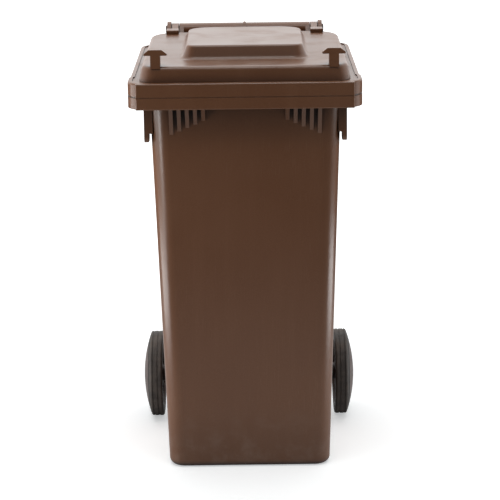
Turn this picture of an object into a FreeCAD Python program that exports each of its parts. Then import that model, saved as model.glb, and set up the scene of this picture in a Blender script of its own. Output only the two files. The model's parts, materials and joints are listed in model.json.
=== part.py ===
import FreeCAD, Part
import math
import os

from FreeCAD import Placement, Rotation, Vector

# A two-wheeled wheelie bin of 120 litres, in millimetres.
# +Z is up and the front of the bin faces -Y. The origin is the middle of the rectangle
# that the whole bin covers on the ground. The bin is the same on its left and right, so a
# piece that comes in pairs is drawn on the right (+X) and mirrored for the left.

# Overall sizes
COLLAR_HALF_WIDTH = 240.0
FRONT_Y = -275.0
REAR_Y = 275.0

# Container walls: straight tapered sides, wider at the top
WALL = 4.0
FLOOR = 5.0
BASE_HALF_WIDTH = 173.0
BASE_FRONT_Y = -219.0
BASE_REAR_Y = 160.0
SIDE_TAPER = 0.0307
FRONT_TAPER = 0.0268
REAR_TAPER = 0.0414
BODY_CORNER = 35.0
FOOT_ROUNDING = 15.0
LOFT_TOP_Z = 920.0
BASE_RECESS = 5.0
BASE_RECESS_INSET = 45.0

# Rim plane: the sloping plane that the collar's top face lies in
RIM_SLOPE_DEG = 4.9
RIM_FRONT_Y = -268.0
RIM_FRONT_Z = 831.0
RIM_REAR_Y = 222.0
COLLAR_SIDE_HALF_WIDTH = 237.0
COLLAR_SHOULDER_Y = -190.0
COLLAR_SHOULDER_LENGTH = 6.0
COLLAR_CORNER = 40.0
COLLAR_HEIGHT = 53.0
COLLAR_TOP = 5.0
COLLAR_EDGE_ROUNDING = 3.5
BEAD_WIDTH = 9.0
BEAD_HEIGHT = 2.0
LIP_HEIGHT = 9.0
STEP_DEPTH = 2.5
STEP_HEIGHT = 3.5
STEP_BELOW_RIM = 27.0

# Comb band across the front of the collar, where a lifting comb takes hold
BAND_HALF_WIDTH = 221.5
BAND_ROUNDING = 2.5
BAND_STEP_DEPTH = 0.8
BAND_STEP_HEIGHT = 2.0

# Gussets under the comb band, in one group on each side, longest near the corner
GUSSET_COUNT = 5
GUSSET_FIRST_X = 86.0
GUSSET_PITCH = 16.5
GUSSET_THICKNESS = 8.0
GUSSET_SHORTEST = 29.0
GUSSET_GROWTH = 7.5
COLLAR_RIB_THICKNESS = 3.0
COLLAR_RIB_PITCH = 62.0

# Lug under each side of the collar, near the front
LUG_FRONT_Y = -226.0
LUG_LENGTH = 46.0
LUG_OUTER_X = 209.0
LUG_FIN_THICKNESS = 9.0
LUG_WEB_THICKNESS = 5.5
LUG_FIN_BOTTOM_Z = 705.0
LUG_WEB_BOTTOM_Z = 724.0

# Handle bar and lid hinge, which share one axis
HANDLE_Z = 904.0
HANDLE_RADIUS = 14.0
END_LUG_RADIUS = 18.0
HANDLE_Y = REAR_Y - END_LUG_RADIUS
CENTRE_RIB_RADIUS = 16.5
CENTRE_RIB_THICKNESS = 6.0
CLEVIS_INNER_X = 141.0
CLEVIS_INNER_THICKNESS = 10.0
CLEVIS_OUTER_X = 170.0
CLEVIS_OUTER_THICKNESS = 9.0
BRACKET_FOOT_BELOW_RIM = 72.0
PIN_RADIUS = 5.0
RUNNING_GAP = 0.06
PIN_HEAD_RADIUS = 9.0
PIN_HEAD_THICKNESS = 4.0
PIN_TIP_X = 128.0
PIN_POINT_RADIUS = 3.5
BARB_RADIUS = 6.2
BARB_GAP = 0.5
BARB_HOLLOW_RADIUS = 7.0
BARB_HOLLOW_DEPTH = 17.0
PIN_SLOT = 1.6

# Lid, in its own frame: V runs back along the rim plane, W stands square on it
LID_HALF_WIDTH = 216.5
LID_FRONT_V = 18.0
LID_REAR_V = 481.0
LID_HEIGHT = 30.0
LID_DRAFT = 6.0
LID_FRONT_CORNER = 32.0
LID_REAR_CORNER = 62.0
LID_WALL = 3.5
LID_GAP = 0.5
LID_ROUNDING = 9.0
PANEL_HALF_WIDTH = 131.0
PANEL_FRONT_V = 100.0
PANEL_REAR_V = 466.0
PANEL_FRONT_RISE = 29.0
PANEL_REAR_RISE = 12.0
PANEL_DRAFT = 11.0
PANEL_FRONT_CORNER = 30.0
PANEL_REAR_CORNER = 60.0
PANEL_ROUNDING = 6.0
PANEL_FOOT_ROUNDING = 12.0
GRIP_X = 181.5
GRIP_FRONT_V = 22.0
GRIP_HEIGHT = 35.0
GRIP_LEAN_DEG = 8.0
GRIP_STEM_WIDTH = 20.0
GRIP_STEM_LENGTH = 22.0
GRIP_BAR_WIDTH = 47.0
GRIP_BAR_FLAT = 26.0
GRIP_BAR_LENGTH = 26.0
GRIP_BAR_HEIGHT = 12.0
GRIP_BAR_END_HEIGHT = 4.0
GRIP_ROUNDING = 1.5
HINGE_SLEEVE_X = 152.0
HINGE_SLEEVE_LENGTH = 17.0
HINGE_ARM_THICKNESS = 14.0
HINGE_STEP_X = 150.0
HINGE_STEP_WIDTH = 28.0
HINGE_STEP_FRONT_V = 440.0
HINGE_STEP_LENGTH = 31.0
HINGE_STEP_RISE = 9.0
HINGE_STEP_ROUNDING = 2.0

# Axle notch at the lower rear corner of the container, and the lugs that hold the axle
WHEEL_RADIUS = 100.0
AXLE_Y = 172.0
AXLE_Z = WHEEL_RADIUS
AXLE_RADIUS = 10.0
AXLE_HALF_LENGTH = 230.0
AXLE_BEVEL = 1.5
NOTCH_FRONT_Y = 110.0
NOTCH_TOP_Z = 146.0
NOTCH_SLANT = 24.0
AXLE_BOSS_RADIUS = 17.0
AXLE_BOSS_END_X = 174.0
AXLE_PLATE_THICKNESS = 5.0
AXLE_PLATE_CENTRES = (42.0, 102.0, 160.0)

# Wheels
TYRE_INNER_X = 201.0
TYRE_OUTER_X = 235.0
TYRE_BORE_RADIUS = 82.0
TYRE_SHOULDER = 5.0
TREAD_GROOVE_WIDTH = 3.0
TREAD_GROOVE_DEPTH = 1.5
SIDEWALL_RING_RADIUS = 87.0
SIDEWALL_RING_WIDTH = 2.5
SIDEWALL_RING_FLOOR_X = 231.8
KEY_HALF_WIDTH = 4.0
KEY_HEIGHT = 3.0
RIM_THICKNESS = 7.0
WEB_THICKNESS = 5.0
HUB_BOSS_RADIUS = 19.0
HUB_BOSS_INNER_X = 194.0
SPOKE_COUNT = 8
SPOKE_THICKNESS = 3.5
SPOKE_INNER_X = 205.0
SPOKE_OUTER_X = 221.0
DOME_APEX_X = 247.0
DOME_RADIUS = 286.0
CAP_EDGE_X = 234.0
CAP_ROUNDING = 1.2
CAP_THICKNESS = 2.5
CAP_SKIRT_LENGTH = 10.0
CAP_SKIRT_THICKNESS = 3.0
SPACER_RADIUS = 15.0
SPACER_END_GAP = 0.5

# Wheel lock: a sprung pawl in the hub that drops into a groove round the axle
PAWL_X = 214.5
PAWL_RADIUS = 4.5
PAWL_TIP = 7.7
PAWL_BACK = 28.0
PAWL_POINT_RADIUS = 3.5
GROOVE_HALF_WIDTH = 5.0
GROOVE_DEPTH = 2.5
TOWER_HALF_WIDTH = 7.5
TOWER_TOP = 52.0
POCKET_TOP = 47.0
SPRING_WIRE_RADIUS = 0.5
SPRING_COIL_RADIUS = 3.5
SPRING_TURNS = 6

# Working values that follow from the sizes above
RIM_TILT = math.radians(RIM_SLOPE_DEG)
ORIGIN = Vector(0, 0, 0)
ACROSS = Vector(1, 0, 0)
UP = Vector(0, 0, 1)
FAR = 1000.0
TOUCH = 0.05
OVERLAP = 1.0
RIM_PLACEMENT = Placement(Vector(0, RIM_FRONT_Y, RIM_FRONT_Z), Rotation(ACROSS, RIM_SLOPE_DEG))


# ---- General shapes ----------------------------------------------------------------------


def mirrored(shape):
    """The same shape on the other side of the bin."""
    return shape.mirror(ORIGIN, ACROSS)


def both_sides(shapes):
    """Every shape and its mirror image."""
    return shapes + [mirrored(shape) for shape in shapes]


def rounded_outline(half_width, y_front, y_rear, radius, z, rear_radius=None):
    """A flat rectangle with round corners at height z. Its rear corners may differ."""
    rear = rear_radius or radius
    corners = [
        (half_width - radius, y_front + radius, radius, -90),
        (half_width - rear, y_rear - rear, rear, 0),
        (rear - half_width, y_rear - rear, rear, 90),
        (radius - half_width, y_front + radius, radius, 180),
    ]
    arcs = []
    for x, y, reach, start in corners:
        angles = [math.radians(start + turn) for turn in (0, 45, 90)]
        points = [Vector(x + reach * math.cos(a), y + reach * math.sin(a), z) for a in angles]
        arcs.append(Part.Arc(*points))
    edges = []
    for arc, following in zip(arcs, arcs[1:] + arcs[:1]):
        edges.append(arc.toShape())
        edges.append(Part.LineSegment(arc.EndPoint, following.StartPoint).toShape())
    return Part.Wire(edges)


def block(half_width, y_front, y_rear, radius, z_low, z_high):
    """An upright block with round corners."""
    face = Part.Face(rounded_outline(half_width, y_front, y_rear, radius, z_low))
    return face.extrude(Vector(0, 0, z_high - z_low))


def tapered_block(low_outline, high_outline):
    """A block whose straight walls join two outlines."""
    return Part.makeLoft([low_outline, high_outline], True, True)


def box(x_from, x_to, y_from, y_to, z_from, z_to):
    """A plain box between two corners."""
    corner = Vector(x_from, y_from, z_from)
    return Part.makeBox(x_to - x_from, y_to - y_from, z_to - z_from, corner)


def plate_across(x_start, thickness, outline):
    """A plate standing in the YZ plane, from a list of (y, z) points."""
    points = [Vector(x_start, y, z) for y, z in outline]
    face = Part.Face(Part.makePolygon(points + points[:1]))
    return face.extrude(Vector(thickness, 0, 0))


def rod(x_from, x_to, y, z, radius):
    """A round rod along X."""
    return Part.makeCylinder(radius, x_to - x_from, Vector(x_from, y, z), ACROSS)


def turned(profile):
    """A ring or disc turned round the axle, from a closed list of (x, radius) points."""
    points = [Vector(x, AXLE_Y, AXLE_Z + radius) for x, radius in profile]
    face = Part.Face(Part.makePolygon(points + points[:1]))
    return face.revolve(Vector(0, AXLE_Y, AXLE_Z), ACROSS, 360)


def ring(x_from, x_to, radius_in, radius_out):
    """A plain ring round the axle."""
    profile = [(x_from, radius_in), (x_to, radius_in), (x_to, radius_out), (x_from, radius_out)]
    return turned(profile)


def tangent_points(foot, radius):
    """The two points where lines from the foot touch a circle round the handle axis."""
    dy = foot[0] - HANDLE_Y
    dz = foot[1] - HANDLE_Z
    towards_foot = math.atan2(dz, dy)
    spread = math.acos(radius / math.hypot(dy, dz))
    touching = []
    for angle in (towards_foot - spread, towards_foot + spread):
        touching.append((HANDLE_Y + radius * math.cos(angle), HANDLE_Z + radius * math.sin(angle)))
    return touching


def eye_plate(x_start, thickness, radius, foot_top, foot_bottom):
    """A plate that ends in a round eye on the handle axis and has its foot in front of it."""
    upper = tangent_points(foot_top, radius)[0]
    lower = tangent_points(foot_bottom, radius)[1]
    arm = plate_across(x_start, thickness, [foot_top, upper, lower, foot_bottom])
    return arm.fuse(rod(x_start, x_start + thickness, HANDLE_Y, HANDLE_Z, radius))


def rounded_edges(shape, radius, wanted):
    """Round every edge whose middle passes the test."""
    edges = [edge for edge in shape.Edges if wanted(edge.CenterOfMass)]
    return shape.makeFillet(radius, edges)


def union(shapes):
    """One clean solid from overlapping shapes."""
    return shapes[0].multiFuse(shapes[1:]).removeSplitter()


# ---- Rim plane ---------------------------------------------------------------------------


def rim_height(y):
    """Height of the rim plane above the ground at depth y."""
    return RIM_FRONT_Z + (y - RIM_FRONT_Y) * math.tan(RIM_TILT)


def rim_slab(low, high):
    """Everything between two planes that follow the rim plane at these upright distances."""
    thickness = (high - low) * math.cos(RIM_TILT)
    slab = Part.makeBox(2 * FAR, 2 * FAR, thickness, Vector(-FAR, -FAR, low * math.cos(RIM_TILT)))
    slab.Placement = RIM_PLACEMENT.multiply(slab.Placement)
    return slab


def front_wall_y(z):
    """Outer face of the container's front wall at height z."""
    return BASE_FRONT_Y - FRONT_TAPER * z


def rear_wall_y(z):
    """Outer face of the container's rear wall at height z."""
    return BASE_REAR_Y + REAR_TAPER * z


# ---- Container ---------------------------------------------------------------------------


def wall_outline(inset, z):
    """Outline of the container's tapered walls at height z, moved in by inset."""
    half_width = BASE_HALF_WIDTH + SIDE_TAPER * z - inset
    return rounded_outline(
        half_width, front_wall_y(z) + inset, rear_wall_y(z) - inset, BODY_CORNER - inset, z
    )


def notch(inset):
    """The space for the axle at the lower rear corner, grown by inset."""
    front = NOTCH_FRONT_Y - inset
    top = NOTCH_TOP_Z + inset
    outline = [
        (front, -FAR),
        (front, top - NOTCH_SLANT),
        (front + NOTCH_SLANT, top),
        (FAR, top),
        (FAR, -FAR),
    ]
    return plate_across(-FAR, 2 * FAR, outline)


def base_recess(inset):
    """The shallow recess under the floor, grown by inset, with its ceiling raised by inset."""
    half_width = BASE_HALF_WIDTH - BASE_RECESS_INSET + inset
    front = BASE_FRONT_Y + BASE_RECESS_INSET - inset
    rear = NOTCH_FRONT_Y - BASE_RECESS_INSET + inset
    return block(half_width, front, rear, BODY_CORNER, -OVERLAP, BASE_RECESS + inset)


def outer_form():
    """The container's outside, as a full solid."""
    form = tapered_block(wall_outline(0, 0), wall_outline(0, LOFT_TOP_Z))
    form = rounded_edges(form, FOOT_ROUNDING, lambda p: p.z < TOUCH)
    return form.cut(notch(0)).cut(base_recess(0))


def cavity():
    """The waste space inside the walls."""
    form = tapered_block(wall_outline(WALL, FLOOR), wall_outline(WALL, LOFT_TOP_Z))
    form = rounded_edges(form, FOOT_ROUNDING - WALL, lambda p: p.z < FLOOR + TOUCH)
    return form.cut(notch(WALL)).cut(base_recess(FLOOR))


def collar_block(inset):
    """The collar's plan as an upright block, moved in by inset: widest round its front."""
    front = RIM_FRONT_Y + inset
    rear = RIM_REAR_Y - inset
    corner = COLLAR_CORNER - inset
    main = block(COLLAR_SIDE_HALF_WIDTH - inset, front, rear, corner, 0, FAR)
    wide = COLLAR_HALF_WIDTH - inset
    shoulder_end = COLLAR_SHOULDER_Y + COLLAR_SHOULDER_LENGTH
    narrow = COLLAR_SIDE_HALF_WIDTH - inset
    outline = [
        (-wide, -FAR),
        (wide, -FAR),
        (wide, COLLAR_SHOULDER_Y),
        (narrow, shoulder_end),
        (-narrow, shoulder_end),
        (-wide, COLLAR_SHOULDER_Y),
    ]
    points = [Vector(x, y, 0) for x, y in outline]
    keep = Part.Face(Part.makePolygon(points + points[:1])).extrude(Vector(0, 0, FAR))
    head = block(wide, front, rear, corner, 0, FAR).common(keep)
    return union([main, head])


def collar():
    """The rim: a flat ledge round the opening with a skirt turned down at its edge."""

    def on_rim(point):
        return abs(point.z - rim_height(point.y)) < TOUCH

    outside = collar_block(0)
    rim = outside.common(rim_slab(-COLLAR_HEIGHT, 0))
    rim = rounded_edges(rim, COLLAR_EDGE_ROUNDING, on_rim)
    channel = collar_block(WALL).common(rim_slab(-COLLAR_HEIGHT - WALL, -COLLAR_TOP))
    ledge = collar_block(BEAD_WIDTH).common(rim_slab(-BEAD_HEIGHT, FAR))
    step = outside.cut(collar_block(STEP_DEPTH))
    step = step.common(rim_slab(-STEP_BELOW_RIM - STEP_HEIGHT, -STEP_BELOW_RIM))
    return rim.cut(channel).cut(ledge).cut(step)


def comb_band():
    """The straight band across the collar's front, with one shallow step along it."""
    bottom = RIM_FRONT_Z - COLLAR_HEIGHT
    rear_y = RIM_FRONT_Y + WALL
    band = box(-BAND_HALF_WIDTH, BAND_HALF_WIDTH, FRONT_Y, rear_y, bottom, RIM_FRONT_Z)
    band = rounded_edges(band, BAND_ROUNDING, lambda p: p.y < FRONT_Y + TOUCH)
    step_top = RIM_FRONT_Z - STEP_BELOW_RIM
    step_rear = FRONT_Y + BAND_STEP_DEPTH
    step = box(-FAR, FAR, FRONT_Y - OVERLAP, step_rear, step_top - BAND_STEP_HEIGHT, step_top)
    return band.cut(step)


def gussets():
    """Upright ribs that carry the comb band on the front wall, in two groups."""
    band_bottom = RIM_FRONT_Z - COLLAR_HEIGHT
    top = RIM_FRONT_Z - COLLAR_TOP
    edge_y = RIM_FRONT_Y + WALL / 2
    ribs = []
    for index in range(GUSSET_COUNT):
        foot = band_bottom - GUSSET_SHORTEST - GUSSET_GROWTH * index
        outline = [
            (edge_y, top),
            (edge_y, band_bottom),
            (front_wall_y(foot) + WALL / 2, foot),
            (front_wall_y(top) + WALL / 2, top),
        ]
        x_start = GUSSET_FIRST_X + GUSSET_PITCH * index - GUSSET_THICKNESS / 2
        ribs.append(plate_across(x_start, GUSSET_THICKNESS, outline))
    return both_sides(ribs)


def collar_ribs():
    """Thin stiffening ribs inside the collar's channel, along both sides and the rear."""
    ribs = []
    inner = BASE_HALF_WIDTH + SIDE_TAPER * RIM_FRONT_Z - WALL
    outer = COLLAR_SIDE_HALF_WIDTH - WALL / 2
    y = RIM_FRONT_Y + COLLAR_CORNER + COLLAR_RIB_PITCH
    while y < RIM_REAR_Y - COLLAR_CORNER:
        ribs.append(box(inner, outer, y, y + COLLAR_RIB_THICKNESS, 0, FAR))
        y += COLLAR_RIB_PITCH
    for x in (COLLAR_RIB_PITCH / 2, COLLAR_RIB_PITCH * 1.5):
        rear = RIM_REAR_Y - WALL / 2
        ribs.append(box(x, x + COLLAR_RIB_THICKNESS, BASE_REAR_Y, rear, 0, FAR))
    channel = rim_slab(-COLLAR_HEIGHT + WALL, -COLLAR_TOP / 2)
    return both_sides([rib.common(channel) for rib in ribs])


def side_lug():
    """A fin on two webs under the side of the collar."""
    rear_y = LUG_FRONT_Y + LUG_LENGTH
    top = RIM_FRONT_Z - COLLAR_TOP
    wall_x = BASE_HALF_WIDTH + SIDE_TAPER * LUG_WEB_BOTTOM_Z - WALL
    fin_x = LUG_OUTER_X - LUG_FIN_THICKNESS
    fin = box(fin_x, LUG_OUTER_X, LUG_FRONT_Y, rear_y, LUG_FIN_BOTTOM_Z, top)
    fin_middle_x = fin_x + LUG_FIN_THICKNESS / 2

    def bottom_corner(point):
        at_bottom = point.z < LUG_FIN_BOTTOM_Z + TOUCH
        return at_bottom and abs(point.x - fin_middle_x) < TOUCH

    fin = rounded_edges(fin, LUG_LENGTH / 4, bottom_corner)
    webs = []
    for y in (LUG_FRONT_Y, rear_y - LUG_WEB_THICKNESS):
        web_rear_y = y + LUG_WEB_THICKNESS
        webs.append(box(wall_x, fin_x + OVERLAP, y, web_rear_y, LUG_WEB_BOTTOM_Z, top))
    return [fin] + webs


def handle():
    """The push bar with its middle rib and the clevis plates that also hold the lid."""
    bar = rod(-CLEVIS_INNER_X, CLEVIS_INNER_X, HANDLE_Y, HANDLE_Z, HANDLE_RADIUS)
    foot_y = RIM_REAR_Y - WALL / 2
    foot_top = (foot_y, rim_height(foot_y) - COLLAR_EDGE_ROUNDING)
    low_z = rim_height(foot_y) - BRACKET_FOOT_BELOW_RIM
    foot_bottom = (rear_wall_y(low_z) - WALL / 2, low_z)
    # The plates reach forward inside the collar's channel to meet the rear wall.
    wall_top = (rear_wall_y(foot_top[1]) - WALL / 2, foot_top[1] - COLLAR_TOP)
    plates = [
        (CLEVIS_OUTER_X, CLEVIS_OUTER_THICKNESS, END_LUG_RADIUS),
        (CLEVIS_INNER_X, CLEVIS_INNER_THICKNESS, HANDLE_RADIUS),
        (-CENTRE_RIB_THICKNESS / 2, CENTRE_RIB_THICKNESS, CENTRE_RIB_RADIUS),
    ]
    brackets = []
    for x_start, thickness, radius in plates:
        brackets.append(eye_plate(x_start, thickness, radius, foot_top, foot_bottom))
        brackets.append(plate_across(x_start, thickness, [foot_top, foot_bottom, wall_top]))
    return [bar] + both_sides(brackets)


def pin_holes():
    """Holes for the hinge pins: through the clevis plates into the bar's hollow ends."""
    hollow_start = CLEVIS_INNER_X - BARB_HOLLOW_DEPTH
    bore = rod(hollow_start, FAR, HANDLE_Y, HANDLE_Z, PIN_RADIUS + RUNNING_GAP)
    hollow = rod(hollow_start, CLEVIS_INNER_X, HANDLE_Y, HANDLE_Z, BARB_HOLLOW_RADIUS)
    return both_sides([bore, hollow])


def axle_supports():
    """Plates and round bosses in the notch that hold the axle."""
    boss_start = AXLE_PLATE_CENTRES[1]
    supports = [rod(boss_start, AXLE_BOSS_END_X, AXLE_Y, AXLE_Z, AXLE_BOSS_RADIUS)]
    rear_y = AXLE_Y + AXLE_BOSS_RADIUS
    wall_y = rear_wall_y(NOTCH_TOP_Z)
    outline = [
        (NOTCH_FRONT_Y - WALL / 2, AXLE_Z - AXLE_BOSS_RADIUS - NOTCH_SLANT),
        (AXLE_Y, AXLE_Z - AXLE_BOSS_RADIUS),
        (rear_y, AXLE_Z),
        (rear_y, AXLE_Z + AXLE_BOSS_RADIUS),
        (wall_y - WALL / 2, NOTCH_TOP_Z + NOTCH_SLANT),
        (wall_y - NOTCH_SLANT, NOTCH_TOP_Z + WALL / 2),
        (NOTCH_FRONT_Y - WALL / 2, NOTCH_TOP_Z - NOTCH_SLANT),
    ]
    for centre in AXLE_PLATE_CENTRES:
        x_start = centre - AXLE_PLATE_THICKNESS / 2
        supports.append(plate_across(x_start, AXLE_PLATE_THICKNESS, outline))
        eye_end = x_start + AXLE_PLATE_THICKNESS
        supports.append(rod(x_start, eye_end, AXLE_Y, AXLE_Z, AXLE_BOSS_RADIUS))
    return both_sides(supports)


def make_container():
    walls = outer_form().common(rim_slab(-FAR, LIP_HEIGHT))
    pieces = [walls, collar(), comb_band()]
    pieces += gussets()
    pieces += collar_ribs()
    pieces += both_sides(side_lug())
    pieces += handle()
    pieces += axle_supports()
    whole = pieces[0].multiFuse(pieces[1:])
    axle_hole = rod(-FAR, FAR, AXLE_Y, AXLE_Z, AXLE_RADIUS + RUNNING_GAP)
    return whole.cut([cavity(), axle_hole] + pin_holes()).removeSplitter()


# ---- Lid ---------------------------------------------------------------------------------


def lid_block(inset, bottom, top):
    """The lid's dome in the lid's frame, moved in by inset, from height bottom to height top."""
    outlines = []
    for height in (bottom, top):
        moved_in = inset + LID_DRAFT * (height - bottom) / LID_HEIGHT
        outlines.append(
            rounded_outline(
                LID_HALF_WIDTH - moved_in,
                LID_FRONT_V + moved_in,
                LID_REAR_V - moved_in,
                LID_FRONT_CORNER - inset,
                height,
                LID_REAR_CORNER - inset,
            )
        )
    dome = tapered_block(*outlines)
    return rounded_edges(dome, LID_ROUNDING - inset / 2, lambda p: p.z > top - TOUCH)


def panel_block(inset):
    """The raised middle panel in the lid's frame, moved in and down by inset."""
    tall = LID_HEIGHT + PANEL_FRONT_RISE
    outlines = []
    for height in (0, tall):
        moved_in = inset + PANEL_DRAFT * (height - LID_HEIGHT) / PANEL_FRONT_RISE
        outlines.append(
            rounded_outline(
                PANEL_HALF_WIDTH - moved_in,
                PANEL_FRONT_V + moved_in,
                PANEL_REAR_V - moved_in,
                PANEL_FRONT_CORNER - moved_in,
                height,
                PANEL_REAR_CORNER - moved_in,
            )
        )
    form = tapered_block(*outlines)
    top_front_v = PANEL_FRONT_V + PANEL_DRAFT
    fall = math.atan2(PANEL_FRONT_RISE - PANEL_REAR_RISE, PANEL_REAR_V - PANEL_FRONT_V)
    above = Part.makeBox(2 * FAR, 2 * FAR, FAR, Vector(-FAR, -FAR, 0))
    slope = Rotation(ACROSS, -math.degrees(fall))
    above.Placement = Placement(Vector(0, top_front_v, tall - inset), slope).multiply(
        above.Placement
    )
    form = form.cut(above)

    def on_top(point):
        drop = (point.y - top_front_v) * math.tan(fall)
        return abs(point.z - (tall - inset - drop)) < 4 * TOUCH

    return rounded_edges(form, PANEL_ROUNDING - inset / 2, on_top)


def domed_top():
    """The lid's dome and its middle panel, which meet in a soft hollow edge."""
    edge = LID_GAP - BEAD_HEIGHT
    joined = union([lid_block(0, edge, LID_HEIGHT), panel_block(0)])

    def panel_foot(point):
        level = abs(point.z - LID_HEIGHT) < TOUCH
        beside = abs(point.x) < PANEL_HALF_WIDTH + OVERLAP
        between = PANEL_FRONT_V - OVERLAP < point.y < PANEL_REAR_V + OVERLAP
        return level and beside and between

    return rounded_edges(joined, PANEL_FOOT_ROUNDING, panel_foot)


def grip():
    """A T-shaped grip on a front corner of the lid, in the lid's frame, leaning back a little."""
    stem_half = GRIP_STEM_WIDTH / 2
    bar_half = GRIP_BAR_WIDTH / 2
    flat_half = GRIP_BAR_FLAT / 2
    bar_low = GRIP_HEIGHT - GRIP_BAR_HEIGHT
    shoulder = bar_low + GRIP_BAR_END_HEIGHT
    stem = box(-stem_half, stem_half, 0, GRIP_STEM_LENGTH, -LID_WALL, bar_low + OVERLAP)
    outline = [
        (-bar_half, bar_low),
        (bar_half, bar_low),
        (bar_half, shoulder),
        (flat_half, GRIP_HEIGHT),
        (-flat_half, GRIP_HEIGHT),
        (-bar_half, shoulder),
    ]
    points = [Vector(x, 0, w) for x, w in outline]
    face = Part.Face(Part.makePolygon(points + points[:1]))
    bar = face.extrude(Vector(0, GRIP_BAR_LENGTH, 0))
    bar = rounded_edges(bar, GRIP_ROUNDING, lambda p: True)
    place = Placement(Vector(GRIP_X, GRIP_FRONT_V, LID_HEIGHT), Rotation(ACROSS, -GRIP_LEAN_DEG))
    for piece in (stem, bar):
        piece.Placement = place.multiply(piece.Placement)
    return [stem, bar]


def hinge_step():
    """A low step on the lid in front of each hinge arm, in the lid's frame."""
    top = LID_HEIGHT + HINGE_STEP_RISE
    step = box(
        HINGE_STEP_X,
        HINGE_STEP_X + HINGE_STEP_WIDTH,
        HINGE_STEP_FRONT_V,
        HINGE_STEP_FRONT_V + HINGE_STEP_LENGTH,
        LID_HEIGHT - LID_WALL,
        top,
    )
    return rounded_edges(step, HINGE_STEP_ROUNDING, lambda p: p.z > top - TOUCH)


def hinge_arm():
    """An arm behind the lid that ends in a sleeve round the hinge pin."""
    sleeve_end = HINGE_SLEEVE_X + HINGE_SLEEVE_LENGTH
    sleeve = rod(HINGE_SLEEVE_X, sleeve_end, HANDLE_Y, HANDLE_Z, HANDLE_RADIUS)
    rear_y = RIM_FRONT_Y + LID_REAR_V * math.cos(RIM_TILT)
    floor_z = rim_height(rear_y)
    foot_top = (rear_y - LID_DRAFT - LID_WALL, floor_z + LID_HEIGHT - LID_ROUNDING / 2)
    foot_bottom = (rear_y - LID_WALL / 2, floor_z + LID_WALL)
    start = HINGE_SLEEVE_X + (HINGE_SLEEVE_LENGTH - HINGE_ARM_THICKNESS) / 2
    arm = eye_plate(start, HINGE_ARM_THICKNESS, HANDLE_RADIUS, foot_top, foot_bottom)
    return [sleeve, arm]


def make_lid():
    edge = LID_GAP - BEAD_HEIGHT
    ceiling = LID_HEIGHT - LID_WALL
    top = union([domed_top()] + both_sides(grip() + [hinge_step()]))
    inside = union([lid_block(LID_WALL, edge - LID_WALL, ceiling), panel_block(LID_WALL)])
    top.Placement = RIM_PLACEMENT
    inside.Placement = RIM_PLACEMENT
    whole = union([top] + both_sides(hinge_arm()))
    pin_hole = rod(-FAR, FAR, HANDLE_Y, HANDLE_Z, PIN_RADIUS + RUNNING_GAP)
    return whole.cut([inside, pin_hole]).removeSplitter()


def make_hinge_pin():
    """A pushed-in pin with a round head and a split, barbed tip."""
    head_x = CLEVIS_OUTER_X + CLEVIS_OUTER_THICKNESS
    outer_face = head_x + PIN_HEAD_THICKNESS
    head = rod(head_x, outer_face, HANDLE_Y, HANDLE_Z, PIN_HEAD_RADIUS)
    head = rounded_edges(head, PIN_HEAD_THICKNESS / 3, lambda p: p.x > outer_face - TOUCH)
    shank = rod(PIN_TIP_X + OVERLAP, head_x + OVERLAP, HANDLE_Y, HANDLE_Z, PIN_RADIUS)
    barb_length = CLEVIS_INNER_X - BARB_GAP - PIN_TIP_X
    tip = Vector(PIN_TIP_X, HANDLE_Y, HANDLE_Z)
    barb = Part.makeCone(PIN_POINT_RADIUS, BARB_RADIUS, barb_length, tip, ACROSS)
    slot = box(
        PIN_TIP_X - OVERLAP,
        CLEVIS_INNER_X + CLEVIS_INNER_THICKNESS / 2,
        HANDLE_Y - PIN_SLOT / 2,
        HANDLE_Y + PIN_SLOT / 2,
        HANDLE_Z - PIN_HEAD_RADIUS,
        HANDLE_Z + PIN_HEAD_RADIUS,
    )
    return union([head, shank, barb]).cut(slot)


# ---- Axle and wheels ---------------------------------------------------------------------


def make_axle():
    """The steel bar, bevelled at its ends, with a groove near each end for the wheel lock."""
    bar = rod(-AXLE_HALF_LENGTH, AXLE_HALF_LENGTH, AXLE_Y, AXLE_Z, AXLE_RADIUS)
    end_x = AXLE_HALF_LENGTH - TOUCH
    bar = bar.makeChamfer(AXLE_BEVEL, [e for e in bar.Edges if abs(e.CenterOfMass.x) > end_x])
    groove_start = PAWL_X - GROOVE_HALF_WIDTH
    groove_end = PAWL_X + GROOVE_HALF_WIDTH
    floor = AXLE_RADIUS - GROOVE_DEPTH
    groove = ring(groove_start, groove_end, floor, AXLE_RADIUS + OVERLAP)
    return bar.cut(both_sides([groove]))


def make_axle_spacer():
    """A sleeve that keeps the wheel off the container's axle boss."""
    start = AXLE_BOSS_END_X + SPACER_END_GAP
    end = HUB_BOSS_INNER_X - SPACER_END_GAP
    return ring(start, end, AXLE_RADIUS + RUNNING_GAP, SPACER_RADIUS)


def wheel_dome(inset):
    """The ball whose surface is the wheel's low domed outer side, moved in by inset."""
    centre = Vector(DOME_APEX_X - DOME_RADIUS, AXLE_Y, AXLE_Z)
    return Part.makeSphere(DOME_RADIUS - inset, centre)


def key_ring(radius_in):
    """The ring in the middle of the wheel's rim that locks the tyre in place."""
    middle = (TYRE_INNER_X + TYRE_OUTER_X) / 2
    key_radius = TYRE_BORE_RADIUS + KEY_HEIGHT
    return ring(middle - KEY_HALF_WIDTH, middle + KEY_HALF_WIDTH, radius_in, key_radius)


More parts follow.
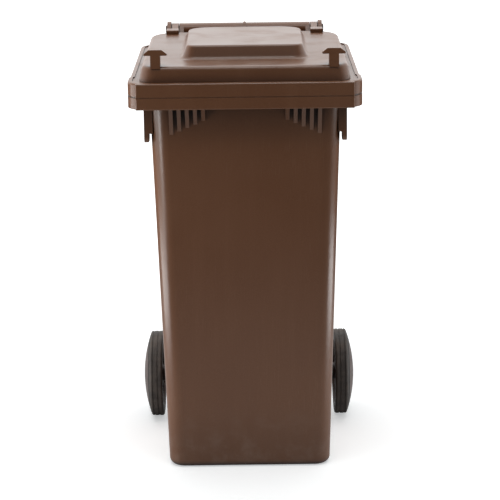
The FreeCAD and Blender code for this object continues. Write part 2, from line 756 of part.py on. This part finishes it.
def make_tyre():
    """A solid tyre with two tread grooves and a ring pressed into its domed outer side."""
    body = rod(TYRE_INNER_X, DOME_APEX_X + OVERLAP, AXLE_Y, AXLE_Z, WHEEL_RADIUS)
    body = body.common(wheel_dome(0))
    body = rounded_edges(body, TYRE_SHOULDER, lambda p: abs(p.z - AXLE_Z) < TOUCH)
    bore = rod(0, FAR, AXLE_Y, AXLE_Z, TYRE_BORE_RADIUS)
    pressed = ring(
        SIDEWALL_RING_FLOOR_X,
        TYRE_OUTER_X,
        SIDEWALL_RING_RADIUS,
        SIDEWALL_RING_RADIUS + SIDEWALL_RING_WIDTH,
    )
    cuts = [bore, key_ring(TYRE_BORE_RADIUS - OVERLAP), pressed]
    width = TYRE_OUTER_X - TYRE_INNER_X
    floor = WHEEL_RADIUS - TREAD_GROOVE_DEPTH
    for third in (1, 2):
        start = TYRE_INNER_X + width * third / 3 - TREAD_GROOVE_WIDTH / 2
        cuts.append(ring(start, start + TREAD_GROOVE_WIDTH, floor, WHEEL_RADIUS + OVERLAP))
    return body.cut(cuts)


def make_wheel_hub():
    """The moulded wheel centre: boss, web, spokes and rim, with the tower for the lock."""
    middle = (TYRE_INNER_X + TYRE_OUTER_X) / 2
    rim_in = TYRE_BORE_RADIUS - RIM_THICKNESS
    web_start = middle - WEB_THICKNESS / 2
    boss_inside = HUB_BOSS_RADIUS - OVERLAP
    pieces = [
        ring(HUB_BOSS_INNER_X, AXLE_HALF_LENGTH + OVERLAP, AXLE_RADIUS / 2, HUB_BOSS_RADIUS),
        ring(web_start, web_start + WEB_THICKNESS, boss_inside, rim_in + OVERLAP),
        ring(TYRE_INNER_X + OVERLAP, CAP_EDGE_X, rim_in, TYRE_BORE_RADIUS),
        key_ring(rim_in + OVERLAP),
    ]
    for index in range(SPOKE_COUNT):
        spoke = box(
            SPOKE_INNER_X,
            SPOKE_OUTER_X,
            AXLE_Y - SPOKE_THICKNESS / 2,
            AXLE_Y + SPOKE_THICKNESS / 2,
            AXLE_Z + boss_inside,
            AXLE_Z + rim_in + OVERLAP,
        )
        spoke.rotate(Vector(0, AXLE_Y, AXLE_Z), ACROSS, 360 * index / SPOKE_COUNT)
        pieces.append(spoke)
    tower = box(
        PAWL_X - TOWER_HALF_WIDTH,
        PAWL_X + TOWER_HALF_WIDTH,
        AXLE_Y - TOWER_HALF_WIDTH,
        AXLE_Y + TOWER_HALF_WIDTH,
        AXLE_Z + AXLE_RADIUS,
        AXLE_Z + TOWER_TOP,
    )
    pieces.append(tower)
    bore = rod(0, FAR, AXLE_Y, AXLE_Z, AXLE_RADIUS + RUNNING_GAP)
    pocket_foot = Vector(PAWL_X, AXLE_Y, AXLE_Z)
    pocket = Part.makeCylinder(PAWL_RADIUS + RUNNING_GAP, POCKET_TOP, pocket_foot, UP)
    return union(pieces).cut([bore, pocket])


def cap_form(inset):
    """The hub cap's full form, moved in by inset: the middle of the wheel's dome."""
    start = CAP_EDGE_X - CAP_SKIRT_LENGTH
    drum = rod(start, DOME_APEX_X + OVERLAP, AXLE_Y, AXLE_Z, TYRE_BORE_RADIUS - inset)
    return drum.common(wheel_dome(inset))


def make_hub_cap():
    """A cap that plugs into the rim and covers the axle's end."""
    outside = rounded_edges(cap_form(0), CAP_ROUNDING, lambda p: abs(p.x - TYRE_OUTER_X) < OVERLAP)
    shell = outside.cut(cap_form(CAP_THICKNESS))
    shell = shell.common(rod(CAP_EDGE_X, FAR, AXLE_Y, AXLE_Z, WHEEL_RADIUS))
    skirt_out = TYRE_BORE_RADIUS - RIM_THICKNESS - RUNNING_GAP
    skirt_in = skirt_out - CAP_SKIRT_THICKNESS
    skirt = ring(CAP_EDGE_X - CAP_SKIRT_LENGTH, DOME_APEX_X, skirt_in, skirt_out)
    return union([shell, skirt.common(outside)])


def make_lock_pawl():
    """The sprung pawl, with a bevelled tip that sits in the axle's groove."""
    tip_z = AXLE_Z + PAWL_TIP
    bevel = PAWL_RADIUS - PAWL_POINT_RADIUS
    tip = Part.makeCone(PAWL_POINT_RADIUS, PAWL_RADIUS, bevel, Vector(PAWL_X, AXLE_Y, tip_z), UP)
    body_start = Vector(PAWL_X, AXLE_Y, tip_z + bevel)
    body = Part.makeCylinder(PAWL_RADIUS, PAWL_BACK - PAWL_TIP - bevel, body_start, UP)
    return union([tip, body])


def make_pawl_spring():
    """A compression spring between the pawl and the end of its pocket."""
    clear = 2 * SPRING_WIRE_RADIUS
    height = POCKET_TOP - PAWL_BACK - 2 * clear
    helix = Part.makeHelix(height / SPRING_TURNS, height, SPRING_COIL_RADIUS)
    section = Part.Wire(
        Part.makeCircle(SPRING_WIRE_RADIUS, Vector(SPRING_COIL_RADIUS, 0, 0), Vector(0, 1, 0))
    )
    coil = Part.Wire(helix).makePipeShell([section], True, True)
    return coil.translated(Vector(PAWL_X, AXLE_Y, AXLE_Z + PAWL_BACK + clear))


# ---- Output ------------------------------------------------------------------------------

PAIRED = {
    "hinge_pin": make_hinge_pin,
    "axle_spacer": make_axle_spacer,
    "tyre": make_tyre,
    "wheel_hub": make_wheel_hub,
    "hub_cap": make_hub_cap,
    "lock_pawl": make_lock_pawl,
    "pawl_spring": make_pawl_spring,
}
SINGLE = {"container": make_container, "lid": make_lid, "axle": make_axle}

os.makedirs("parts", exist_ok=True)
for name, make in SINGLE.items():
    make().exportStep("parts/" + name + ".step")
for name, make in PAIRED.items():
    right = make()
    right.exportStep("parts/" + name + "_right.step")
    mirrored(right).exportStep("parts/" + name + "_left.step")
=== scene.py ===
import json
import math

import bpy
from mathutils import Matrix, Vector


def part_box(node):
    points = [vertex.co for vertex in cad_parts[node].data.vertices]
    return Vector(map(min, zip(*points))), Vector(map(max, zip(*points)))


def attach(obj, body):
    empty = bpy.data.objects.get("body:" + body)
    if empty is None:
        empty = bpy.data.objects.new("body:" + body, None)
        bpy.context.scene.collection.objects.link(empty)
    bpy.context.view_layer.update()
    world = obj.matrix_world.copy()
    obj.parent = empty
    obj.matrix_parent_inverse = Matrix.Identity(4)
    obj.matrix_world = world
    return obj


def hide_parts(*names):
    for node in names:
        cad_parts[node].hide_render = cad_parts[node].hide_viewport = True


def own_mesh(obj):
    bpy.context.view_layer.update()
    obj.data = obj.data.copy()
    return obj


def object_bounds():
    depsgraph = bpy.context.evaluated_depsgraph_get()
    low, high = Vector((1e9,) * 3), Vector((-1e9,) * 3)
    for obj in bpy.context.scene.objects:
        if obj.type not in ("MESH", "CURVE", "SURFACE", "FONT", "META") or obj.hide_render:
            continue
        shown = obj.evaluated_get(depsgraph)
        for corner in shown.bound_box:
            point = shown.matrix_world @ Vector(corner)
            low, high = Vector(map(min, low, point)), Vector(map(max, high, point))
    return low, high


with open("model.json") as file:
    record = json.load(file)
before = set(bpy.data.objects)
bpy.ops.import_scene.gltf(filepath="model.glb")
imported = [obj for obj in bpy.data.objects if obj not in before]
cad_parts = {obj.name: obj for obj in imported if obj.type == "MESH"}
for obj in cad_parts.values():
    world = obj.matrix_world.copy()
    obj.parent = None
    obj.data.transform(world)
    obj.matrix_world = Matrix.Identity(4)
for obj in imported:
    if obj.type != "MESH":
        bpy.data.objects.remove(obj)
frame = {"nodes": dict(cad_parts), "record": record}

cad_low, cad_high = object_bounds()

MM = 0.001

# ---- Places worked out from the frame, in metres -----------------------------------------

container_low, container_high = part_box("container")
tyre_low, tyre_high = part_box("tyre_right")
WHEEL_RADIUS = (tyre_high.z - tyre_low.z) / 2
AXLE_Y = (tyre_high.y + tyre_low.y) / 2
AXLE_Z = (tyre_high.z + tyre_low.z) / 2
BIN_HEIGHT = container_high.z
COLLAR_BELOW_LID = 53 * MM
COLLAR_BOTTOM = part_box("lid")[0].z - COLLAR_BELOW_LID


# ---- Building node graphs ----------------------------------------------------------------

MIX_FIRST, MIX_SECOND, MIX_RESULT = 6, 7, 2  # a Mix node's colour sockets
FLAT, SHARP = 0.995, 0.75  # how alike the true and the rounded normal are
OPEN, DEEP = 0.85, 0.25  # how much of the surroundings a point sees
LEVEL_FROM, LEVEL_FULL = 0.2, 0.95  # upward part of a normal
EDGE_SAMPLES = 6
CREVICE_SAMPLES = 8


class Graph:
    """An emptied node tree and short ways to add nodes to it."""

    def __init__(self, tree, place="Object"):
        self.tree = tree
        self.tree.nodes.clear()
        self.place = self.node("ShaderNodeTexCoord").outputs[place]

    def node(self, kind, inputs=None, **settings):
        """A node with its settings; inputs maps a socket's name or number to a value or a link."""
        made = self.tree.nodes.new(kind)
        for key, value in settings.items():
            setattr(made, key, value)
        for key, value in (inputs or {}).items():
            socket = made.inputs[key]
            if isinstance(value, bpy.types.NodeSocket):
                self.tree.links.new(value, socket)
            else:
                socket.default_value = value
        return made

    def maths(self, operation, first, second=0.0, clamp=False):
        """One arithmetic step on two numbers."""
        inputs = {0: first, 1: second}
        return self.node("ShaderNodeMath", inputs, operation=operation, use_clamp=clamp).outputs[0]

    def times(self, first, second):
        """The product of two numbers."""
        return self.maths("MULTIPLY", first, second)

    def larger(self, first, second):
        """The larger of two numbers."""
        return self.maths("MAXIMUM", first, second)

    def plus(self, first, second):
        """The sum of two numbers, kept within 0 and 1."""
        return self.maths("ADD", first, second, clamp=True)

    def vector_maths(self, operation, first, second, output="Vector"):
        """One arithmetic step on two vectors."""
        made = self.node("ShaderNodeVectorMath", {0: first, 1: second}, operation=operation)
        return made.outputs[output]

    def split(self, vector):
        """A vector's parts, by the names X, Y and Z."""
        return self.node("ShaderNodeSeparateXYZ", {0: vector}).outputs

    def ramp(self, value, low, high, result_low=0.0, result_high=1.0):
        """value carried from one range to another, smoothly and clamped."""
        inputs = {
            "Value": value,
            "From Min": low,
            "From Max": high,
            "To Min": result_low,
            "To Max": result_high,
        }
        made = self.node("ShaderNodeMapRange", inputs, interpolation_type="SMOOTHSTEP")
        return made.outputs["Result"]

    def noise(self, per_metre, detail=4.0, stretch=(1, 1, 1), roughness=0.55):
        """Soft noise from 0 to 1; per_metre counts its blobs, stretch squeezes it per axis."""
        inputs = {
            "Vector": self.vector_maths("MULTIPLY", self.place, stretch),
            "Scale": per_metre,
            "Detail": detail,
            "Roughness": roughness,
        }
        return self.node("ShaderNodeTexNoise", inputs).outputs["Fac"]

    def mix(self, factor, first, second):
        """Colour between first and second."""
        inputs = {0: factor, MIX_FIRST: first, MIX_SECOND: second}
        return self.node("ShaderNodeMix", inputs, data_type="RGBA").outputs[MIX_RESULT]


class Shader(Graph):
    """A new material's graph, with what the materials of the bin share."""

    def __init__(self, name):
        self.material = bpy.data.materials.new(name)
        self.material.use_nodes = True
        super().__init__(self.material.node_tree)

    def spots(self, per_metre, low, high, results=(0.0, 1.0), **noise):
        """Noise as patches that start where it passes low and are full where it passes high."""
        return self.ramp(self.noise(per_metre, **noise), low, high, *results)

    def edges(self, radius):
        """From 0 on flat faces to 1 on sharp edges, both outward and inward."""
        bevel = self.node("ShaderNodeBevel", {"Radius": radius}, samples=EDGE_SAMPLES)
        normal = self.node("ShaderNodeNewGeometry").outputs["True Normal"]
        alike = self.vector_maths("DOT_PRODUCT", bevel.outputs[0], normal, output="Value")
        return self.ramp(alike, FLAT, SHARP)

    def crevices(self, distance):
        """From 0 in the open to 1 deep in corners and gaps."""
        inputs = {"Distance": distance}
        hidden = self.node("ShaderNodeAmbientOcclusion", inputs, samples=CREVICE_SAMPLES)
        return self.ramp(hidden.outputs["AO"], OPEN, DEEP)

    def upward(self):
        """1 on faces that look up, 0 on upright and downward ones."""
        normal = self.node("ShaderNodeNewGeometry").outputs["Normal"]
        return self.ramp(self.split(normal)["Z"], LEVEL_FROM, LEVEL_FULL)

    def height(self):
        """Height above the ground in metres."""
        return self.split(self.place)["Z"]

    def bump(self, height, strength, distance, below=None):
        """A normal from a height map, on top of another bump if one is given."""
        inputs = {"Height": height, "Strength": strength, "Distance": distance}
        if below is not None:
            inputs["Normal"] = below
        return self.node("ShaderNodeBump", inputs).outputs["Normal"]

    def finish(self, base, roughness, normal, **more):
        """Ends the graph with one surface shader and returns the material."""
        inputs = {"Base Color": base, "Roughness": roughness, "Normal": normal, **more}
        surface = self.node("ShaderNodeBsdfPrincipled", inputs)
        self.node("ShaderNodeOutputMaterial", {"Surface": surface.outputs[0]})
        return self.material


def colour(red, green, blue):
    """An opaque colour from linear light values."""
    return (red, green, blue, 1.0)


# ---- Brown plastic -----------------------------------------------------------------------

# How much each kind of mark, and each kind of painted shade, shows, from 0 to 1
SPECKLE = 0.12
STREAKS = 0.16
SCUFFS = 0.35
HAIRS = 0.10
DUST = 0.22
CREVICE_SHADE = 0.85
GROUND_SHADE = 0.24
COLLAR_SHADE = 0.42

# How much each makes the plastic rougher
DUST_ROUGHNESS = 0.5
MARK_ROUGHNESS = 0.25

GROUND_REACH = 160 * MM  # height that splashes from the ground, and the painted shade near the ground, reach
COLLAR_REACH = 100 * MM  # how far the painted shadow of the collar reaches below it
# reach of the painted shade in crevices
CREVICE_REACH = 34 * MM
EDGE_WIDTH = 1.2 * MM


def hair_scratches(shader):
    """Thin upright hair scratches that gather in patches, 1 on a scratch."""
    lines = shader.spots(700.0, 0.62, 0.70, detail=1.0, stretch=(1, 1, 0.025))
    patches = shader.spots(5.0, 0.30, 0.90, detail=0.0)
    return shader.times(lines, patches)


def brown_dust(shader, low_down):
    """Dust that settles on level faces, and splashes from the ground."""
    splashes = shader.times(low_down, shader.spots(30.0, 0.4, 0.75))
    settled = shader.times(shader.upward(), shader.spots(14.0, 0.4, 0.75, detail=6.0))
    return shader.larger(shader.times(splashes, DUST), shader.times(settled, DUST))


def brown_painted_shade(shader, low_down):
    """Painted shade: darker in crevices, towards the ground and in a band just below the collar."""
    # painted shadow of the collar: darker within COLLAR_REACH below its bottom edge
    near_collar = shader.ramp(shader.height(), COLLAR_BOTTOM - COLLAR_REACH, COLLAR_BOTTOM)
    below_collar = shader.maths("LESS_THAN", shader.height(), COLLAR_BOTTOM)
    shade_below_collar = shader.times(near_collar, below_collar)
    # painted shade in corners and gaps, from ambient occlusion
    shaded_parts = shader.times(shader.crevices(CREVICE_REACH), CREVICE_SHADE)
    # painted shade: darker towards the ground
    shaded_parts = shader.larger(shaded_parts, shader.times(low_down, GROUND_SHADE))
    return shader.larger(shaded_parts, shader.times(shade_below_collar, COLLAR_SHADE))


def brown_plastic():
    """Semi-gloss brown polyethylene: grained, a little scuffed at edges, dusty low down, with
    painted shade in crevices, low down and below the collar.
    """
    shader = Shader("brown_plastic")
    deep = colour(0.094, 0.036, 0.014)
    warm = colour(0.106, 0.043, 0.018)
    faded = colour(0.160, 0.076, 0.040)
    scuffed = colour(0.250, 0.150, 0.105)
    dust = colour(0.230, 0.170, 0.135)
    # darkest colour: painted shade in crevices, near the ground and below the collar
    painted_shade = colour(0.022, 0.010, 0.006)

    clouds = shader.spots(3.2, 0.3, 0.7, detail=2.0)
    base = shader.mix(clouds, deep, warm)
    speckle = shader.spots(420.0, 0.35, 0.65, detail=2.0)
    base = shader.mix(shader.times(speckle, SPECKLE), base, faded)
    streaks = shader.spots(26.0, 0.5, 0.78, stretch=(1, 1, 0.06))
    upright = shader.maths("SUBTRACT", STREAKS, shader.times(shader.upward(), STREAKS))
    base = shader.mix(shader.times(streaks, upright), base, faded)

    worn = shader.spots(55.0, 0.42, 0.66, detail=5.0)
    scuffs = shader.times(shader.edges(EDGE_WIDTH), worn)
    marks = shader.larger(shader.times(scuffs, SCUFFS), shader.times(hair_scratches(shader), HAIRS))
    base = shader.mix(marks, base, scuffed)

    low_down = shader.ramp(shader.height(), GROUND_REACH, 0.0)
    dusty = brown_dust(shader, low_down)
    base = shader.mix(dusty, base, dust)
    # painted shade darkens crevices, the lowest part and a band just below the collar
    base = shader.mix(brown_painted_shade(shader, low_down), base, painted_shade)

    rough = shader.ramp(clouds, 0.0, 1.0, 0.28, 0.33)
    rough = shader.plus(rough, shader.times(dusty, DUST_ROUGHNESS))
    rough = shader.plus(rough, shader.times(marks, MARK_ROUGHNESS))

    grain = shader.bump(shader.noise(950.0, detail=3.0), strength=0.12, distance=0.25 * MM)
    unscuffed = shader.maths("SUBTRACT", 1.0, scuffs)
    relief = shader.bump(unscuffed, strength=0.15, distance=0.3 * MM, below=grain)
    return shader.finish(base, rough, relief, **{"IOR": 1.52, "Specular IOR Level": 0.45})


# ---- Black plastic, rubber and steel -----------------------------------------------------

BLACK_CLOUDS = 0.6
BLACK_EDGE_WEAR = 0.55
BLACK_HELD_DUST = 0.45
HELD_DUST_ROUGHNESS = 0.25

TREAD_START = 7 * MM  # how far inside the wheel's radius dust starts, and is full
TREAD_FULL = 1 * MM
RUBBER_MOTTLE = 0.5
RUBBER_HELD_DUST = 0.3
RUBBER_DUST_ROUGHNESS = 0.3

RUST_ROUGHNESS = 0.4
RUST_DULLING = 0.8
SPRING_METALLIC = 0.95


def black_plastic():
    """Satin black moulded plastic with a brown cast of dust."""
    shader = Shader("black_plastic")
    black = colour(0.030, 0.017, 0.014)
    grey = colour(0.062, 0.038, 0.032)
    dust = colour(0.200, 0.150, 0.125)
    clouds = shader.spots(24.0, 0.35, 0.7, detail=5.0)
    base = shader.mix(shader.times(clouds, BLACK_CLOUDS), black, grey)
    worn = shader.times(shader.edges(1.5 * MM), shader.spots(90.0, 0.4, 0.65))
    base = shader.mix(shader.times(worn, BLACK_EDGE_WEAR), base, dust)
    held = shader.times(shader.crevices(10 * MM), shader.spots(60.0, 0.3, 0.6))
    base = shader.mix(shader.times(held, BLACK_HELD_DUST), base, dust)
    rough = shader.spots(45.0, 0.3, 0.7, results=(0.38, 0.52), detail=5.0)
    rough = shader.plus(rough, shader.times(held, HELD_DUST_ROUGHNESS))
    grain = shader.bump(shader.noise(900.0, detail=3.0), strength=0.15, distance=0.3 * MM)
    return shader.finish(base, rough, grain)


def tread(shader):
    """1 on the tread and 0 on the sides of a tyre, by the distance from the axle."""
    place = shader.split(shader.place)
    back = shader.maths("SUBTRACT", place["Y"], AXLE_Y)
    up = shader.maths("SUBTRACT", place["Z"], AXLE_Z)
    squares = shader.maths("ADD", shader.times(back, back), shader.times(up, up))
    radius = shader.maths("SQRT", squares)
    return shader.ramp(radius, WHEEL_RADIUS - TREAD_START, WHEEL_RADIUS - TREAD_FULL)


def black_rubber():
    """Solid rubber: matt, fine-grained, dusty and a little worn on the tread."""
    shader = Shader("black_rubber")
    black = colour(0.009, 0.007, 0.006)
    grey = colour(0.022, 0.017, 0.015)
    dust = colour(0.150, 0.120, 0.100)
    mottle = shader.spots(70.0, 0.35, 0.7, detail=6.0, roughness=0.7)
    base = shader.mix(shader.times(mottle, RUBBER_MOTTLE), black, grey)
    patches = shader.spots(30.0, 0.3, 0.7, results=(0.05, 0.3), detail=6.0)
    held = shader.times(shader.crevices(6 * MM), RUBBER_HELD_DUST)
    dusty = shader.larger(shader.times(tread(shader), patches), held)
    base = shader.mix(dusty, base, dust)
    rough = shader.ramp(mottle, 0.0, 1.0, 0.62, 0.74)
    rough = shader.plus(rough, shader.times(dusty, RUBBER_DUST_ROUGHNESS))
    pores = shader.bump(shader.noise(1400.0, detail=2.0), strength=0.25, distance=0.3 * MM)
    nicked = shader.spots(180.0, 0.28, 0.36, detail=3.0)
    nicks = shader.bump(nicked, strength=0.35, distance=0.6 * MM, below=pores)
    return shader.finish(base, rough, nicks)


def plated_steel():
    """Zinc-plated bar, drawn along X, with dull patches and a little rust at its edges."""
    shader = Shader("zinc_steel")
    bright = colour(0.60, 0.61, 0.62)
    dull = colour(0.36, 0.37, 0.38)
    rust = colour(0.20, 0.085, 0.035)
    lines = shader.noise(900.0, detail=3.0, stretch=(0.02, 1, 1))
    base = shader.mix(shader.spots(60.0, 0.35, 0.7, detail=6.0), bright, dull)
    edge_rust = shader.times(shader.spots(240.0, 0.55, 0.68, detail=6.0), shader.edges(1.2 * MM))
    rusty = shader.larger(edge_rust, shader.spots(85.0, 0.68, 0.76, detail=6.0))
    base = shader.mix(rusty, base, rust)
    rough = shader.ramp(lines, 0.3, 0.7, 0.28, 0.42)
    rough = shader.plus(rough, shader.times(rusty, RUST_ROUGHNESS))
    metal = shader.maths("SUBTRACT", 1.0, shader.times(rusty, RUST_DULLING), clamp=True)
    relief = shader.bump(lines, strength=0.15, distance=0.15 * MM)
    return shader.finish(base, rough, relief, Metallic=metal)


def spring_steel():
    """Dark oiled spring wire."""
    shader = Shader("spring_steel")
    film = shader.spots(700.0, 0.35, 0.7)
    base = shader.mix(film, colour(0.30, 0.29, 0.28), colour(0.16, 0.13, 0.11))
    rough = shader.ramp(film, 0.0, 1.0, 0.25, 0.45)
    relief = shader.bump(film, strength=0.2, distance=0.1 * MM)
    return shader.finish(base, rough, relief, Metallic=SPRING_METALLIC)


def dress(nodes):
    """Gives every CAD node the material of its slot in the record."""
    makers = {
        "brown_plastic": brown_plastic,
        "black_plastic": black_plastic,
        "black_rubber": black_rubber,
        "zinc_steel": plated_steel,
        "spring_steel": spring_steel,
    }
    made = {name: make() for name, make in makers.items()}
    for part in frame["record"]["subparts"]:
        for slot in nodes[part["node"]].material_slots:
            slot.material = made[part["material_slot"]]


# ---- Springs -----------------------------------------------------------------------------


def pawl_spring(side):
    """A copy of a pawl spring's mesh, carried by its wheel in place of the CAD node."""
    name = "pawl_spring_" + side
    node = frame["nodes"][name]
    spring = bpy.data.objects.new("coil_" + side, node.data.copy())
    bpy.context.scene.collection.objects.link(spring)
    spring.material_slots[0].material = node.material_slots[0].material
    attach(spring, "wheel_" + side)
    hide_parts(name)
    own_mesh(spring)


# ---- Floor -------------------------------------------------------------------------------

FLOOR_SIZE = 60.0
FLOOR_ROUGHNESS = 0.9
FLOOR_BOUNCE_CUT = 0.1  # share of the darker colour in light the floor throws back
DARK_ROOM = (0.65, 2.6)  # distances between which the mirrored floor darkens
GLOW_REACH = (0.5, 2.5)  # distances between which the floor's glow grows
GLOW_STRENGTH = (0.44, 1.0)


def floor_material():
    """Pale matt paper. As mirrored in the bin it darkens away from the bin."""
    shader = Shader("floor_paper")
    fibres = shader.spots(60.0, 0.3, 0.7, detail=5.0)
    pale = shader.mix(fibres, colour(0.90, 0.91, 0.91), colour(0.93, 0.94, 0.94))
    distance = shader.vector_maths("LENGTH", shader.place, (0, 0, 0), output="Value")
    ray = shader.node("ShaderNodeLightPath").outputs
    darker = shader.times(ray["Is Glossy Ray"], shader.ramp(distance, *DARK_ROOM))
    darker = shader.larger(darker, shader.times(ray["Is Diffuse Ray"], FLOOR_BOUNCE_CUT))
    base = shader.mix(darker, pale, colour(0.10, 0.10, 0.10))
    relief = shader.bump(fibres, strength=0.05, distance=0.5 * MM)
    glow = shader.times(ray["Is Camera Ray"], shader.ramp(distance, *GLOW_REACH, *GLOW_STRENGTH))
    shine = {"Emission Color": colour(0.97, 0.99, 1.0), "Emission Strength": glow}
    return shader.finish(base, FLOOR_ROUGHNESS, relief, **shine)


def make_floor():
    half = FLOOR_SIZE / 2
    mesh = bpy.data.meshes.new("floor")
    corners = [(-half, -half, 0), (half, -half, 0), (half, half, 0), (-half, half, 0)]
    mesh.from_pydata(corners, [], [(0, 1, 2, 3)])
    mesh.materials.append(floor_material())
    floor = bpy.data.objects.new("floor", mesh)
    bpy.context.scene.collection.objects.link(floor)
    floor.location.z = cad_low.z
    return floor


# ---- Lamps -------------------------------------------------------------------------------

OVERHEAD = 2.7  # heights of the lamps
LOW = 0.14
MIDDLE = 0.47
COLLAR = 0.68
HIGH = 1.1
WHITE_LIGHT = (1.0, 1.0, 1.0)
WARM_LIGHT = (1.0, 0.84, 0.68)

# Each lamp's name, place, aim, width and depth in metres, and watts
TOP_LAMPS = (
    ("overhead", (0, 0.9, OVERHEAD), (0, 0.3, 0), (2.6, 2.2), 25),
    ("front_top", (-0.2, -1.0, OVERHEAD), (0, 0, BIN_HEIGHT), (1.6, 0.8), 16),
)
SIDE_LAMPS = (
    ("left_low", (-1.1, -0.3, LOW), (0, -0.1, LOW), (0.9, 0.26), 5.6),
    ("left_collar", (-1.1, -0.3, COLLAR), (0, -0.1, COLLAR), (0.9, 0.24), 3.2),
    ("left_high", (-1.0, 0.1, HIGH), (0, -0.1, 0.7), (0.5, 0.7), 8),
    ("left_streak", (-1.25, -0.95, MIDDLE), (-0.2, -0.2, MIDDLE), (0.26, 0.2), 3.5),
    ("right_low", (1.1, -0.2, LOW), (0, -0.1, LOW), (0.7, 0.26), 4.2),
    ("right_collar", (1.1, -0.2, COLLAR), (0, -0.1, COLLAR), (0.7, 0.24), 1.0),
    ("right_high", (1.0, 0.1, HIGH), (0, -0.1, 0.7), (0.5, 0.7), 5),
)
WARM_LAMPS = ("left_high", "right_high")  # soft fill, not mirrored in the plastic


def softbox(name, place, aim, size, watts):
    """A rectangular lamp at place that faces the point aim, unseen by the camera."""
    lamp = bpy.data.lights.new(name, "AREA")
    lamp.shape = "RECTANGLE"
    lamp.size, lamp.size_y = size
    lamp.energy = watts
    lamp.color = WARM_LIGHT if name in WARM_LAMPS else WHITE_LIGHT
    holder = bpy.data.objects.new(name, lamp)
    bpy.context.scene.collection.objects.link(holder)
    holder.location = place
    holder.rotation_euler = (Vector(aim) - Vector(place)).to_track_quat("-Z", "Y").to_euler()
    holder.visible_camera = False
    holder.visible_glossy = name not in WARM_LAMPS
    return holder


def make_lights(floor):
    """Two large lamps above, and small ones at the sides that light the bin but not the floor."""
    for lamp in TOP_LAMPS:
        softbox(*lamp)
    side_lamps = [softbox(*lamp) for lamp in SIDE_LAMPS]
    unlit = bpy.data.collections.new("unlit_by_side_lamps")
    unlit.objects.link(floor)
    unlit.collection_objects[0].light_linking.link_state = "EXCLUDE"
    for lamp in side_lamps:
        lamp.light_linking.receiver_collection = unlit


# ---- Surroundings ------------------------------------------------------------------------

# From and to, along the direction, then the strength at each end
BEHIND_GLOW = (-0.75, 0.15, 0.08, 1.5)
CEILING_GLOW = (0.15, 0.5, 0.0, 0.5)
SOFT_STRENGTH = 0.45
SEEN_STRENGTH = 1.0


def make_world():
    """White surroundings: plain for the camera, soft for diffuse light, dark in front in mirrors."""
    world = bpy.data.worlds.new("studio")
    world.use_nodes = True
    bpy.context.scene.world = world
    sky = Graph(world.node_tree, place="Generated")

    def background(shade, strength):
        inputs = {"Color": shade, "Strength": strength}
        return sky.node("ShaderNodeBackground", inputs).outputs[0]

    def choose(share, first, second):
        return sky.node("ShaderNodeMixShader", {0: share, 1: first, 2: second}).outputs[0]

    heading = sky.split(sky.place)
    behind = sky.ramp(heading["Y"], *BEHIND_GLOW)
    ceiling = sky.ramp(heading["Z"], *CEILING_GLOW)
    white = colour(1.0, 1.0, 1.0)
    mirrored = background(white, sky.larger(behind, ceiling))
    soft = background(white, SOFT_STRENGTH)
    seen = background(colour(0.97, 0.985, 0.99), SEEN_STRENGTH)
    ray = sky.node("ShaderNodeLightPath").outputs
    lighting = choose(ray["Is Glossy Ray"], soft, mirrored)
    surface = choose(ray["Is Camera Ray"], lighting, seen)
    sky.node("ShaderNodeOutputWorld", {"Surface": surface})


# ---- Camera ------------------------------------------------------------------------------

CAMERA_BACK = 3.34
CAMERA_HEIGHT = 1.1675
CAMERA_ASIDE = 0.006
CAMERA_DOWN_DEG = 11.71
CAMERA_ROLL_DEG = -0.73
CAMERA_LENS = 117.2
FOOT_BEHIND_FRONT = 60 * MM  # the foot of the front wall, behind the collar's front


def make_camera():
    """A long lens in front of the bin, a little above the lid, looking slightly down."""
    data = bpy.data.cameras.new("camera")
    data.lens = CAMERA_LENS
    camera = bpy.data.objects.new("camera", data)
    bpy.context.scene.collection.objects.link(camera)
    foot_y = container_low.y + FOOT_BEHIND_FRONT
    tilt = Matrix.Rotation(math.radians(90 - CAMERA_DOWN_DEG), 4, "X")
    roll = Matrix.Rotation(math.radians(CAMERA_ROLL_DEG), 4, "Z")
    place = Matrix.Translation((CAMERA_ASIDE, foot_y - CAMERA_BACK, CAMERA_HEIGHT))
    camera.matrix_world = place @ tilt @ roll
    bpy.context.scene.camera = camera


dress(frame["nodes"])
for side in ("left", "right"):
    pawl_spring(side)
make_lights(make_floor())
make_world()
make_camera()
bpy.context.scene.view_settings.view_transform = "Standard"
